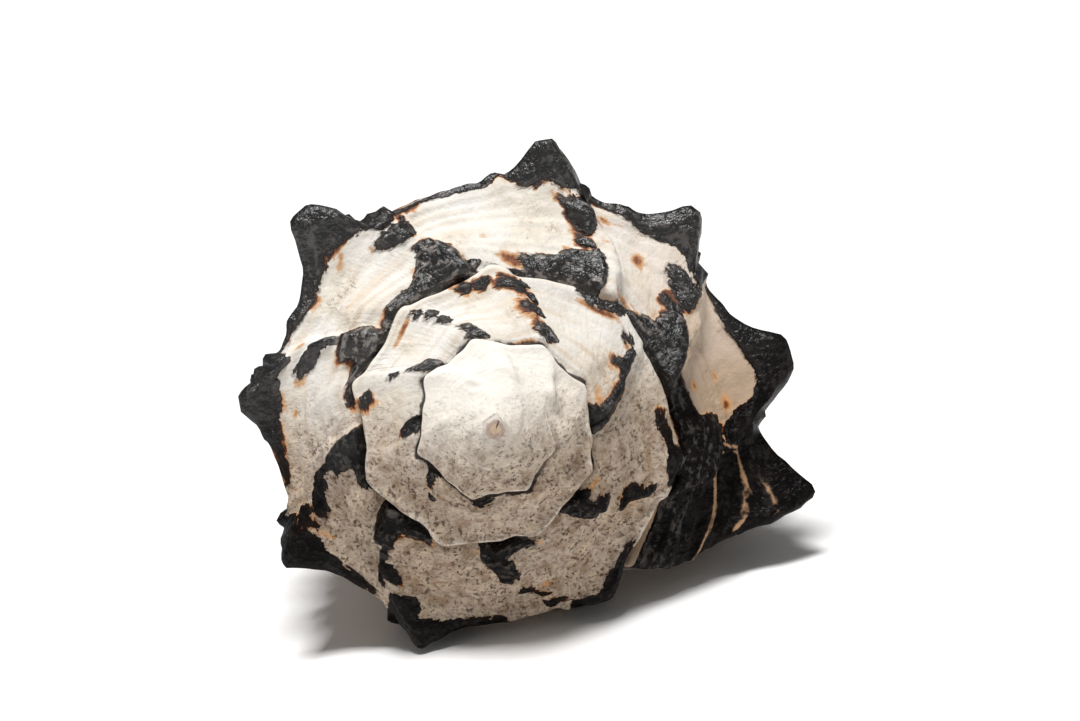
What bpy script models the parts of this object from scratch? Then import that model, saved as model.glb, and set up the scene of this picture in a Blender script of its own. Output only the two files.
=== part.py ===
"""A murex shell lying on its aperture, in metres, Z up, its spire towards -Y.

The shell is one solid: coiled whorls, the varices with their spines, the aperture hollow and the open canal.
It is worked out first in its own growth frame in millimetres: tip of the spire at the origin, axis along Z,
canal downwards, the coil turning clockwise as seen from the spire. `s` counts whole turns back from the lip.
"""

import math

import bmesh
import bpy
import numpy as np
from mathutils import Matrix, Vector

# Growth: the shoulder's distance from the axis (mm) at the lip and at each half turn behind it.
SHOULDER_RADII = (40.8, 33.2, 27.6, 20.4, 14.7, 11.1, 8.4, 6.3, 4.8, 3.6, 2.8)
SPIRE_SLOPE = 0.72          # depth of the shoulder below the tip, per unit of its radius
BODY_DROP = 0.04            # the last whorl lies this much lower at the lip
LIP_ANGLE = -24.0           # degrees around the axis, at the shoulder
SLANT = -24.0               # a growth line reaches the suture this many degrees ahead of the shoulder
OVERLAP = 1 + SLANT / 360   # turns from a suture point back to the whorl it rests on
RESOLVED_TURNS = 4.3        # the coil behind that is a worn, rounded tip

# Varices of the last whorl, youngest first: the angle of the spine, how far it stands past the
# shoulder (mm), and its width ahead and behind (degrees).
VARICES = (
    (-12, 8.4, 11, 9),
    (12, 5.6, 9, 10),
    (45, 4.9, 8, 10),
    (78, 6.0, 6, 12),
    (131, 7.0, 9, 8),
    (175, 3.6, 9, 8),
    (214, 3.2, 8, 9),
    (252, 3.2, 8, 9),
    (305, 1.6, 8, 9),
)
OLD_VARICES = (350, 403, 451, 488, 522, 563, 608, 653, 697, 746, 780, 824, 862, 917, 972)
OLDEST_STEP = 46            # degrees between the varices of the first whorls
VARIX_LEAD = 12.0           # a varix's edge runs this far ahead of its spine, in degrees
VARIX_HEIGHT = 1.9          # on a whorl of 38 mm radius
VARIX_RISE = 9.0            # degrees over which it rises, and below over which it ends
VARIX_FALL = 1.6
CORNER = 0.05               # share of the radius by which the outline bulges at a varix
OLD_CORNER = 0.075

# Side of the last whorl from below the shoulder to the tip of the canal (mm), at the lip, and one
# turn back, where it is the wall and the pillar that face the aperture.
LIP_PROFILE = ((39.6, -43), (40.6, -50), (39.2, -58), (34.6, -66), (27.6, -73.5),
               (20.6, -80), (15.4, -87), (12.6, -94.5), (10.8, -102.5), (8, -110))
PILLAR_PROFILE = ((27.2, -27), (26, -34), (23, -41), (19, -48), (14.6, -55),
                  (11, -62), (8.6, -70), (7, -80), (6, -91), (4.6, -103))
# How far the growth lines run on (+) or hang back (-) down the side, by share of its length.
SIDE_SLANT = ((0, 0), (0.2, 7), (0.45, 8), (0.6, 2), (0.75, -10), (0.9, -20), (1, -28))
# Spiral cords down the side: share of its length, strength, and spine at a varix (mm).
CORDS = (
    (0.02, 1.0, 0),
    (0.10, 0.9, 2.4),
    (0.185, 0.95, 3.2),
    (0.27, 0.85, 2.2),
    (0.36, 0.9, 3.0),
    (0.45, 0.8, 2.2),
    (0.54, 0.8, 2.6),
    (0.64, 0.7, 2.0),
    (0.76, 0.8, 4.5),
    (0.88, 0.7, 3.0),
)
CORD_HEIGHT = 0.55
CANAL_BEND_FROM = -72.0     # the canal curves off the axis below this level
CANAL_BEND = (3.0, 9.0)     # at its tip, mm

WALL = 2.8
CANAL_WALL = 1.8
HOLLOW_TURNS = 0.40         # how far the open hollow is followed behind the lip

# Resting pose: direction of the sky in the growth frame, and how deep the contact spots are worn.
SKY_ANGLE = 100.0
SKY_RISE = 17.0
WORN_DEPTH = 0.9

ROWS_PER_TURN = 90
RAMP_COLUMNS = 5
SIDE_COLUMNS = 18
HOLLOW_ROWS = 14

SHELL_COLOUR = (0.62, 0.52, 0.42, 1.0)


def ease(x):
    """A smooth step from 0 to 1."""
    x = np.clip(x, 0, 1)
    return x * x * (3 - 2 * x)


def through(points, t):
    """A smooth curve through evenly spaced points, at t from 0 to 1."""
    p = np.array(points, float)
    last = len(p) - 1
    x = np.clip(np.asarray(t, float) * last, 0, last - 1e-9)
    i = x.astype(int)
    f = (x - i)[..., None]
    before, a = p[np.clip(i - 1, 0, last)], p[i]
    b, after = p[np.clip(i + 1, 0, last)], p[np.clip(i + 2, 0, last)]
    bend = 2 * before - 5 * a + 4 * b - after
    twist = -before + 3 * a - 3 * b + after
    return 0.5 * (2 * a + (b - before) * f + bend * f ** 2 + twist * f ** 3)


def shoulder_radius(s):
    logs = np.log(np.array(SHOULDER_RADII))[:, None]
    return np.exp(through(logs, np.asarray(s, float) / (0.5 * (len(logs) - 1)))[..., 0])


def shoulder_height(s):
    return -SPIRE_SLOPE * shoulder_radius(s) * (1 + BODY_DROP * np.clip(1 - s, 0, 1) ** 2)


def below_shoulder(s):
    """The foot of the small wall under the shoulder, which later bears the next whorl's suture."""
    r = shoulder_radius(s)
    return 0.97 * r, shoulder_height(s) - 0.115 * r


def varix_spines():
    """Angle and length of every spine, the blunt old ones too."""
    rows = list(VARICES) + [(angle, 0, 8, 8) for angle in OLD_VARICES]
    angle = OLD_VARICES[-1] + OLDEST_STEP
    while angle < 360 * (RESOLVED_TURNS + 1.5):
        rows.append((angle, 0, 8, 8))
        angle += OLDEST_STEP
    return rows


def turns_behind_lip(angle):
    return (angle - LIP_ANGLE) / 360


class Columns:
    """Places across a whorl: v up the ramp from suture to shoulder, w down its wall, b down the side."""

    def __init__(self, ramp, side):
        self.shoulder = ramp
        self.foot = ramp + 1
        self.tip = ramp + 1 + side
        j = np.arange(self.tip + 1)
        self.v = np.clip(j / ramp, 0, 1)
        self.w = np.clip(j - ramp, 0, 1).astype(float)
        self.b = np.clip((j - ramp - 1) / side, 0, 1)
        knots = np.array(SIDE_SLANT, float)
        self.slant = np.where(self.v < 1, SLANT * (1 - self.v), np.interp(self.b, knots[:, 0], knots[:, 1]))


def plain_section(s, cols):
    """Distance from the axis and height of every column at rows s, before any relief."""
    s = np.asarray(s, float)
    out = np.zeros((len(s), cols.tip + 1, 2))
    suture = np.stack(below_shoulder(s + OVERLAP), -1)
    shoulder = np.stack([shoulder_radius(s), shoulder_height(s)], -1)
    foot = np.stack(below_shoulder(s), -1)
    v = cols.v[None, :, None]
    chord = shoulder - suture
    length = np.linalg.norm(chord, axis=-1, keepdims=True)
    normal = np.stack([-chord[:, 1], chord[:, 0]], -1) / length
    swell = length[:, None] * 0.045 * np.sin(2 * np.pi * v)
    out[:] = suture[:, None] + chord[:, None] * v + normal[:, None] * swell
    wall = slice(cols.shoulder, cols.tip + 1)
    w = cols.w[None, wall, None]
    out[:, wall] = shoulder[:, None] * (1 - w) + foot[:, None] * w
    side = slice(cols.foot, cols.tip + 1)
    lip = through([below_shoulder(0.0)] + list(LIP_PROFILE), cols.b[side])
    pillar = through([below_shoulder(1.0)] + list(PILLAR_PROFILE), cols.b[side])
    back = np.clip(s, 0, 1.6)[:, None]
    at_lip = np.log(lip[:, 0] / shoulder_radius(0.0))
    at_pillar = np.log(pillar[:, 0] / shoulder_radius(1.0))
    out[:, side, 0] = np.exp((1 - back) * at_lip + back * at_pillar) * shoulder_radius(s)[:, None]
    deep_lip = np.log(shoulder_height(0.0) - lip[:, 1])
    deep_pillar = np.log(shoulder_height(1.0) - pillar[:, 1])
    out[:, side, 1] = shoulder_height(s)[:, None] - np.exp((1 - back) * deep_lip + back * deep_pillar)
    return out


def section_normals(section):
    """Unit vectors out of the whorl, in the plane of the section."""
    along = np.gradient(section, axis=1)
    normal = np.stack([-along[..., 1], along[..., 0]], -1)
    return normal / np.maximum(np.linalg.norm(normal, axis=-1, keepdims=True), 1e-9)


def fold(degrees, rise, fall):
    """A varix's outline: it swells up to its edge and ends short past it."""
    return np.where(degrees < 0, np.exp(-(degrees / rise) ** 2), np.exp(-(degrees / fall) ** 2))


def worn(s):
    """Relief left on older whorls."""
    return 1 - 0.7 * ease((s - 0.9) / 1.6)


def ramp_relief(s, v):
    total = np.zeros(s.shape)
    swell = 1 + 0.5 * np.exp(-(v / 0.22) ** 2)
    for angle, _, _, _ in varix_spines():
        d = (turns_behind_lip(angle - VARIX_LEAD) - s) * 360
        total += VARIX_HEIGHT * shoulder_radius(s) / 38 * fold(d, VARIX_RISE, VARIX_FALL) * swell * worn(s)
    return total


def side_relief(s, b):
    size = shoulder_radius(s) / 38
    total = np.zeros(s.shape)
    for place, strength, _ in CORDS:
        total += CORD_HEIGHT * strength * size * np.exp(-((b - place) / 0.022) ** 2)
    for angle, _, _, _ in VARICES:
        d = (turns_behind_lip(angle - VARIX_LEAD) - s) * 360
        total += VARIX_HEIGHT * size * fold(d, VARIX_RISE, 2.2) * ease(b / 0.03) * (1 - 0.4 * b)
        for place, _, length in CORDS:
            total += length * size * fold(d, 6.0, 2.2) * np.exp(-((b - place) / 0.026) ** 2)
    return total


def corner_relief(s):
    total = np.zeros(s.shape)
    for number, (angle, _, _, _) in enumerate(varix_spines()):
        d = (turns_behind_lip(angle) - s) * 360
        share = CORNER if number < len(VARICES) else OLD_CORNER
        total += share * shoulder_radius(s) * np.exp(-(d / 9.0) ** 2)
    return total


def spine_relief(s):
    total = np.zeros(s.shape)
    for angle, length, ahead, behind in VARICES:
        x = angle - LIP_ANGLE - s * 360
        front = np.clip(1 - np.abs(x / ahead) ** 1.2, 0, 1)
        back = np.exp(-(np.abs(x) / (0.6 * behind)) ** 1.2)
        total = np.maximum(total, length * np.where(x > 0, front, back))
    return total


def place(section, s, cols):
    """Turn distances from the axis and heights into points, with the canal bent off the axis."""
    rho, z = section[..., 0], section[..., 1]
    phi = np.radians(LIP_ANGLE + 360 * s + cols.slant[None])
    bend = np.clip((CANAL_BEND_FROM - z) / 38, 0, None) ** 2
    x = rho * np.cos(phi) + CANAL_BEND[0] * bend
    y = rho * np.sin(phi) + CANAL_BEND[1] * bend
    return np.stack([x, y, z], -1)


def outer_surface(s, cols):
    section = plain_section(s, cols)
    normal = section_normals(section)
    shape = section.shape[:2]
    turns = np.broadcast_to(s[:, None], shape)
    v = np.broadcast_to(cols.v[None], shape)
    w = np.broadcast_to(cols.w[None], shape)
    b = np.broadcast_to(cols.b[None], shape)
    lift = ramp_relief(turns, v) * (1 - w) * ease(v / 0.12) + side_relief(turns, b) * (b > 0)
    corner = corner_relief(turns) * ease((v - 0.35) / 0.65) * (1 - ease(b / 0.12))
    corner = corner + corner_relief(turns + OVERLAP) * (1 - ease(v / 0.9))
    on_wall = np.where(b > 0, 0.65 * np.exp(-(b / 0.035) ** 2), 1 - 0.35 * w)
    spine = spine_relief(turns) * np.where(v < 1, np.exp(-((1 - v) / 0.20) ** 2), on_wall)
    section[..., 0] += normal[..., 0] * lift + corner + spine
    section[..., 1] += normal[..., 1] * lift + 0.22 * spine
    return place(section, turns, cols)


def hollow_turns(cols):
    """How far behind the lip each row of the hollow lies: less down the canal."""
    share = np.interp(cols.b, (0, 0.45, 0.62, 0.8, 1), (1, 1, 0.6, 0.22, 0.16))
    return np.linspace(0, 1, HOLLOW_ROWS + 1)[:, None] * HOLLOW_TURNS * share[None]


def hollow_roof(back, cols):
    """The inside of the outer wall, thinning to nothing at the suture."""
    wall = np.interp(cols.b, (0, 0.5, 0.8, 1), (WALL, WALL, 2.4, CANAL_WALL))
    out = np.zeros(back.shape + (3,))
    for j in range(cols.tip + 1):
        section = plain_section(back[:, j], cols)
        inward = -section_normals(section)
        reach = np.linalg.norm(section - section[:, :1], axis=-1)
        share = ease(reach / (0.22 * shoulder_radius(back[:, j])[:, None]))
        share = np.where(cols.v[None] >= 1, 1.0, share)[..., None]
        section = section + (1 - share) * np.array([1.3, -1.2]) + share * inward * wall[None, :, None]
        section[..., 0] += (corner_relief(back[:, j] + OVERLAP) * near_lip())[:, None] * (1 - share[..., 0])
        out[:, j] = place(section, back[:, j][:, None], cols)[:, j]
    return out


def near_lip():
    """How much of the outer relief each row of the hollow still shows."""
    return 1 - ease(np.arange(HOLLOW_ROWS + 1) / (0.3 * HOLLOW_ROWS))


def hollow_floor(back, cols):
    """The wall of the whorl before and the pillar, going on into the hollow."""
    out = np.zeros(back.shape + (3,))
    tuck = np.minimum(np.arange(HOLLOW_ROWS + 1), 1)
    share = near_lip()[:, None]
    for j in range(cols.foot, cols.tip + 1):
        turns = OVERLAP + back[:, j]
        section = plain_section(turns, cols)
        section[..., 1] -= 2.1 * (1 - ease(cols.b[j] / 0.08)) * tuck[:, None]
        out[:, j] = place(section, turns[:, None], cols)[:, j]
        bare = place(plain_section(turns, cols), turns[:, None], cols)
        out[:, j] += share * (outer_surface(turns, cols) - bare)[:, j]
    return out


class Surface:
    """Points and faces under names, so that neighbouring strips share their edges."""

    def __init__(self):
        self.points = []
        self.faces = []
        self.index = {}

    def add(self, key, point):
        self.index[key] = len(self.points)
        self.points.append(point)

    def face(self, *keys):
        self.faces.append([self.index[key] for key in keys])


def shell_surface(cols):
    rows = int(round(ROWS_PER_TURN * RESOLVED_TURNS))
    lap = int(round(ROWS_PER_TURN * OVERLAP))
    outer = outer_surface(np.arange(rows + 1) / ROWS_PER_TURN, cols)
    surface = Surface()
    for i in range(rows + 1):
        for j in range((cols.tip if i <= lap else cols.foot) + 1):
            if j == cols.foot and i >= lap:
                # The foot of this whorl's wall is the suture of the whorl after it.
                surface.index["o", i, j] = surface.index["o", i - lap, 0]
                surface.points[surface.index["o", i, j]] = outer[i, j]
            else:
                surface.add(("o", i, j), outer[i, j])
    for i in range(rows):
        for j in range(cols.tip if i < lap else cols.foot):
            surface.face(("o", i, j + 1), ("o", i + 1, j + 1), ("o", i + 1, j), ("o", i, j))
    close_tip(surface, rows, lap, cols)
    line_hollow(surface, lap, cols)
    return surface


def close_tip(surface, rows, lap, cols):
    """The worn tip of the spire, a low cone over the oldest suture."""
    rim = [("o", i, 0) for i in range(rows - lap, rows + 1)]
    rim += [("o", rows, j) for j in range(1, cols.foot)]
    ring = np.array([surface.points[surface.index[key]] for key in rim])
    middle = ring.mean(0)
    radius = np.linalg.norm(ring - middle, axis=1).mean()
    surface.add("tip", middle + np.array([0, 0, 0.35 * radius]))
    for a, b in zip(rim, rim[1:] + rim[:1]):
        surface.face(b, "tip", a)


def line_hollow(surface, lap, cols):
    """The lip's edge, the walls of the hollow, its blind end and the open end of the canal."""
    back = hollow_turns(cols)
    roof = hollow_roof(back, cols)
    floor = hollow_floor(back, cols)
    last = HOLLOW_ROWS
    for a in range(last + 1):
        for j in range(cols.tip + 1):
            surface.add(("roof", a, j), roof[a, j])
            if j < cols.foot:
                continue
            if a == 0:
                surface.index["floor", 0, j] = surface.index["o", lap, j]
            else:
                surface.add(("floor", a, j), floor[a, j])
    for j in range(cols.tip):
        surface.face(("roof", 0, j), ("roof", 0, j + 1), ("o", 0, j + 1), ("o", 0, j))
    for a in range(last):
        for j in range(cols.tip):
            surface.face(("roof", a + 1, j), ("roof", a + 1, j + 1), ("roof", a, j + 1), ("roof", a, j))
        for j in range(cols.foot, cols.tip):
            surface.face(("floor", a + 1, j + 1), ("floor", a + 1, j), ("floor", a, j), ("floor", a, j + 1))
        surface.face(("floor", a + 1, cols.foot), ("roof", a + 1, 0), ("roof", a, 0), ("floor", a, cols.foot))
    corner = cols.foot + 2
    for j in range(cols.foot, corner):
        surface.face(("floor", last, j), ("floor", last, j + 1), ("roof", last, 0))
    for j in range(corner):
        surface.face(("floor", last, corner), ("roof", last, j + 1), ("roof", last, j))
    for j in range(corner, cols.tip):
        surface.face(("floor", last, j), ("floor", last, j + 1), ("roof", last, j + 1), ("roof", last, j))
    end = [("o", i, cols.tip) for i in range(lap + 1)]
    end += [("floor", a, cols.tip) for a in range(1, last + 1)]
    end += [("roof", a, cols.tip) for a in range(last, -1, -1)]
    surface.face(*reversed(end))


def resting_axes():
    """World axes in the growth frame: up, and the spire's side as -Y."""
    rise, turn = math.radians(SKY_RISE), math.radians(SKY_ANGLE)
    up = Vector((math.cos(turn) * math.cos(rise), math.sin(turn) * math.cos(rise), math.sin(rise)))
    axis = Vector((0, 0, 1))
    forward = (axis - up * axis.dot(up)).normalized()
    across = (-forward).cross(up)
    return Matrix((across, -forward, up))


def rest_on_ground(points):
    """Turn the points into the resting pose, wear the contact spots flat, centre them on the ground."""
    axes = np.array(resting_axes())
    points = points @ axes.T
    ground = points[:, 2].min() + WORN_DEPTH
    points[:, 2] = np.maximum(points[:, 2], ground)
    low, high = points.min(0), points.max(0)
    return points - np.array([(low[0] + high[0]) / 2, (low[1] + high[1]) / 2, ground])


def make_material(name, colour, roughness):
    material = bpy.data.materials.new(name)
    material.use_nodes = True
    shader = material.node_tree.nodes["Principled BSDF"]
    shader.inputs["Base Color"].default_value = colour
    shader.inputs["Roughness"].default_value = roughness
    shader.inputs["Metallic"].default_value = 0.0
    return material


def make_shell():
    surface = shell_surface(Columns(RAMP_COLUMNS, SIDE_COLUMNS))
    points = rest_on_ground(np.array(surface.points)) * 0.001
    mesh = bpy.data.meshes.new("shell")
    mesh.from_pydata([tuple(p) for p in points], [], surface.faces)
    body = bmesh.new()
    body.from_mesh(mesh)
    bmesh.ops.triangulate(body, faces=body.faces[:], quad_method="SHORT_EDGE", ngon_method="BEAUTY")
    body.to_mesh(mesh)
    body.free()
    mesh.materials.append(make_material("worn shell", SHELL_COLOUR, 0.55))
    shell = bpy.data.objects.new("shell", mesh)
    bpy.context.scene.collection.objects.link(shell)
    return shell


def main():
    for thing in list(bpy.data.objects):
        bpy.data.objects.remove(thing)
    make_shell()


main()
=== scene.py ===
"""A large, worn murex shell lying on its aperture, seen on to the tip of its spire."""

import math

import bpy
import numpy as np
from mathutils import Matrix, Vector, noise


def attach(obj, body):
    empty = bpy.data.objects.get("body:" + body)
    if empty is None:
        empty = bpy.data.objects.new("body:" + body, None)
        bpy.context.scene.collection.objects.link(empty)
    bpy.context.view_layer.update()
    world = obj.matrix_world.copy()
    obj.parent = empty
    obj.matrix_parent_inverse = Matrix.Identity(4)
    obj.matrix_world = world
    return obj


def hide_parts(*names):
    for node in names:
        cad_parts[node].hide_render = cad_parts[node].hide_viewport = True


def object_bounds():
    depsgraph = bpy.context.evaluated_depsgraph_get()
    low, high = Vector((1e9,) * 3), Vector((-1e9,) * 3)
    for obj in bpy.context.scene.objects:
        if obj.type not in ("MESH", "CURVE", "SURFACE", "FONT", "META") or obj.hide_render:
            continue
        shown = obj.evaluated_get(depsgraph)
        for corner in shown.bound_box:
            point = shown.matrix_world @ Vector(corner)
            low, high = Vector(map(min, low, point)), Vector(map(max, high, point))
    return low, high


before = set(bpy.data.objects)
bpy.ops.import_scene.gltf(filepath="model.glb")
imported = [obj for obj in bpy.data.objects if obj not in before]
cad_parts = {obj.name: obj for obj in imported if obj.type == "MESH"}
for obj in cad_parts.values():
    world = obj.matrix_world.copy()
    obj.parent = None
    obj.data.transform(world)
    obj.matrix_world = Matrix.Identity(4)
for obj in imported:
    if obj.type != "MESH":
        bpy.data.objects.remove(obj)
cad_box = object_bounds()

# The shell's growth, as in the solid, in millimetres: the tip of the spire at the origin, the axis along Z

SHOULDER_RADII = (40.8, 33.2, 27.6, 20.4, 14.7, 11.1, 8.4, 6.3, 4.8, 3.6, 2.8, 2.2, 1.7)
WAIST = 0.045
WAIST_AT = 1.40
WOBBLE = 0.009
SPIRE_SLOPE = 0.72
BODY_DROP = 0.04
LIP_ANGLE = -24.0
SLANT = -24.0
OVERLAP = 1 + SLANT / 360
RESOLVED_TURNS = 5.3
VARIX_LEAD = 12.0
VARIX_HEIGHT = 1.9
VARIX_RISE = 9.0
VARIX_FALL = 1.4
CORNER = 0.05
OLD_CORNER = 0.082
OLDEST_STEP = 46

# Varices of the last whorl, youngest first: the spine's angle, its length past the shoulder (mm), its width
# ahead and behind (degrees), and the half width of its blunt end.
VARICES = (
    (-12, 8.4, 11, 8, 0.6),
    (13, 5.2, 8, 7, 3.0),
    (46, 4.8, 7, 5.5, 1.2),
    (79.5, 5.8, 10, 4, 0.9),
    (132, 6.6, 7, 7, 2.6),
    (175, 3.6, 8, 7, 0.8),
    (214, 4.0, 8, 7, 0.8),
    (253, 2.9, 9, 7, 0.8),
    (305, 1.4, 8, 9, 0.5),
)

# Small knobs on the shoulder between the spines, in the same terms.
KNOBS = ((89, 1.1, 3, 3, 0.5), (58, 0.7, 3, 4, 1.0), (152, 0.6, 3, 3, 1.0))

# Older varices: the corner's angle, and how many degrees ahead of it the edge runs.
OLD_VARICES = (
    (350, 12), (403, 14), (451, 7), (488, 2), (522, 2), (563, 1), (608, 8), (653, 9), (697, 12),
    (746, 12), (780, 9), (824, 12), (862, 10), (917, 10), (972, 10),
)

LIP_PROFILE = ((39.6, -43), (40.6, -50), (39.2, -58), (34.6, -66), (27.6, -73.5),
               (20.6, -80), (15.4, -87), (12.6, -94.5), (10.8, -102.5), (8, -110))
PILLAR_PROFILE = ((27.2, -27), (26, -34), (23, -41), (19, -48), (14.6, -55),
                  (11, -62), (8.6, -70), (7, -80), (6, -91), (4.6, -103))
SIDE_SLANT = ((0, 0), (0.2, 7), (0.45, 8), (0.6, 2), (0.75, -10), (0.9, -20), (1, -28))
CORDS = (
    (0.02, 1.0, 0),
    (0.10, 0.9, 2.4),
    (0.185, 0.95, 3.2),
    (0.27, 0.85, 2.2),
    (0.36, 0.9, 3.0),
    (0.45, 0.8, 2.2),
    (0.54, 0.8, 2.6),
    (0.64, 0.7, 2.0),
    (0.76, 0.8, 4.5),
    (0.88, 0.7, 3.0),
)
CORD_HEIGHT = 0.55
CANAL_BEND_FROM = -72.0
CANAL_BEND = (3.0, 9.0)
WALL = 2.8
CANAL_WALL = 1.8
HOLLOW_TURNS = 0.40
SKY_ANGLE = 100.0
SKY_RISE = 17.0
GROUND_OFFSET = (5.62, 54.02, -36.86)

# Fineness of the visible surface.
ROWS_PER_TURN = 330
RAMP_COLUMNS = 34
WALL_COLUMNS = 3
SIDE_COLUMNS = 84
HOLLOW_ROWS = 30
LIP_ROWS = 4
TIP_RINGS = 6
WELD = 0.000002

# Soft spiral cords on the ramp, by share of the way from suture to shoulder.
RAMP_CORDS = (0.27, 0.38, 0.49, 0.59, 0.70, 0.80, 0.90)

# Length of the side (mm) that the scales and cords of black are measured on, and how sharply the band ends.
SIDE_LENGTH = 70
KEEL_SHARPNESS = 50

# Lumps and dents of the worn surface (mm across).
LUMP = 6.0
DENT = 2.2


def ease(x):
    x = np.clip(x, 0, 1)
    return x * x * (3 - 2 * x)


def through(points, t):
    """A smooth curve through evenly spaced points, at t from 0 to 1."""
    p = np.array(points, float)
    last = len(p) - 1
    x = np.clip(np.asarray(t, float) * last, 0, last - 1e-9)
    i = x.astype(int)
    f = (x - i)[..., None]
    before, a = p[np.clip(i - 1, 0, last)], p[i]
    b, after = p[np.clip(i + 1, 0, last)], p[np.clip(i + 2, 0, last)]
    bend = 2 * before - 5 * a + 4 * b - after
    twist = -before + 3 * a - 3 * b + after
    return 0.5 * (2 * a + (b - before) * f + bend * f ** 2 + twist * f ** 3)


def shoulder_radius(s):
    logs = np.log(np.array(SHOULDER_RADII))[:, None]
    s = np.asarray(s, float)
    narrow = 1 - WAIST * np.exp(-((s - WAIST_AT) / 0.2) ** 2)
    turn = 2 * np.pi * s
    wobble = np.sin(7.3 * turn + 1) + 0.6 * np.sin(13.7 * turn + 2) + 0.5 * np.sin(23.1 * turn)
    narrow = narrow * (1 + WOBBLE * wobble * ease((s - 0.95) / 0.3))
    return narrow * np.exp(through(logs, s / (0.5 * (len(logs) - 1)))[..., 0])


def shoulder_height(s):
    return -SPIRE_SLOPE * shoulder_radius(s) * (1 + BODY_DROP * np.clip(1 - s, 0, 1) ** 2)


def smooth_age(s):
    """0 on the stepped whorls, 1 on the oldest, whose steps are worn into one slope."""
    return ease((np.asarray(s, float) - 2.6) / 0.3)


def below_shoulder(s):
    """Foot of the small wall under the shoulder, low on the old whorls and gone on the oldest."""
    r = shoulder_radius(s)
    s = np.asarray(s, float)
    wall = 0.115 * (1 - 0.5 * ease((s - 1.9) / 0.3)) * (1 - smooth_age(s))
    on = 0.012 * smooth_age(s)
    return (1 - 0.26 * wall + on) * r, shoulder_height(s) - (wall + SPIRE_SLOPE * on) * r


def all_varices():
    """The corner's and the edge's angle of every varix, youngest first."""
    rows = [(row[0], row[0] - VARIX_LEAD) for row in VARICES]
    rows += [(angle, angle - lead) for angle, lead in OLD_VARICES]
    angle = OLD_VARICES[-1][0] + OLDEST_STEP
    while angle < 360 * (RESOLVED_TURNS + 1.5):
        rows.append((angle, angle - 10))
        angle += OLDEST_STEP
    return rows


def degrees_behind(angle, s):
    """Degrees from a growth position back to the place at this angle; positive is ahead of it."""
    return angle - LIP_ANGLE - s * 360


def place_columns(ramp, wall, side):
    """Per column: share of the ramp (v), of the small wall (w) and of the side (b), and the line's slant."""
    j = np.arange(ramp + wall + side + 1)
    v = np.clip(j / ramp, 0, 1)
    w = np.clip((j - ramp) / wall, 0, 1)
    b = np.clip((j - ramp - wall) / side, 0, 1)
    knots = np.array(SIDE_SLANT, float)
    slant = np.where(v < 1, SLANT * (1 - v), np.interp(b, knots[:, 0], knots[:, 1]))
    return {"v": v, "w": w, "b": b, "slant": slant, "foot": ramp + wall, "tip": ramp + wall + side}


def plain_section(s, cols):
    s = np.asarray(s, float)
    out = np.zeros((len(s), cols["tip"] + 1, 2))
    suture = np.stack(below_shoulder(s + OVERLAP), -1)
    shoulder = np.stack([shoulder_radius(s), shoulder_height(s)], -1)
    foot = np.stack(below_shoulder(s), -1)
    v = cols["v"][None, :, None]
    chord = shoulder - suture
    length = np.linalg.norm(chord, axis=-1, keepdims=True)
    normal = np.stack([-chord[:, 1], chord[:, 0]], -1) / length
    bow = 0.045 * (1 - 0.9 * ease((s - 2.1) / 0.6))[:, None, None]
    out[:] = suture[:, None] + chord[:, None] * v
    out += normal[:, None] * (length[:, None] * bow * np.sin(2 * np.pi * v))
    wall = cols["w"] > 0
    w = cols["w"][None, wall, None]
    out[:, wall] = shoulder[:, None] * (1 - w) + foot[:, None] * w
    side = slice(cols["foot"], cols["tip"] + 1)
    lip = through([below_shoulder(0.0)] + list(LIP_PROFILE), cols["b"][side])
    pillar = through([below_shoulder(1.0)] + list(PILLAR_PROFILE), cols["b"][side])
    back = np.clip(s, 0, 1.6)[:, None]
    at_lip = np.log(lip[:, 0] / shoulder_radius(0.0))
    at_pillar = np.log(pillar[:, 0] / shoulder_radius(1.0))
    out[:, side, 0] = np.exp((1 - back) * at_lip + back * at_pillar) * shoulder_radius(s)[:, None]
    deep_lip = np.log(shoulder_height(0.0) - lip[:, 1])
    deep_pillar = np.log(shoulder_height(1.0) - pillar[:, 1])
    out[:, side, 1] = shoulder_height(s)[:, None] - np.exp((1 - back) * deep_lip + back * deep_pillar)
    out[:, cols["foot"]] = foot
    return out


def section_normals(section):
    along = np.gradient(section, axis=1)
    normal = np.stack([-along[..., 1], along[..., 0]], -1)
    return normal / np.maximum(np.linalg.norm(normal, axis=-1, keepdims=True), 1e-9)


def fold(degrees, rise, fall):
    return np.where(degrees < 0, np.exp(-(degrees / rise) ** 2), np.exp(-(degrees / fall) ** 2))


def worn(s):
    """How much of the relief is left: little on the old whorls, but more on the disc round the tip."""
    return 1 - 0.62 * ease((s - 0.9) / 0.8) + 0.5 * ease((s - 1.95) / 0.15) - 0.8 * ease((s - 2.85) / 0.3)


def edge_wander(number, v):
    """How many degrees a varix's edge wanders ahead or back along its length, so it isn't one clean line."""
    return 0.9 * np.sin(9.0 * v + 2.1 * number) + 0.5 * np.sin(23.0 * v + 1.3 * number)


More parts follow.
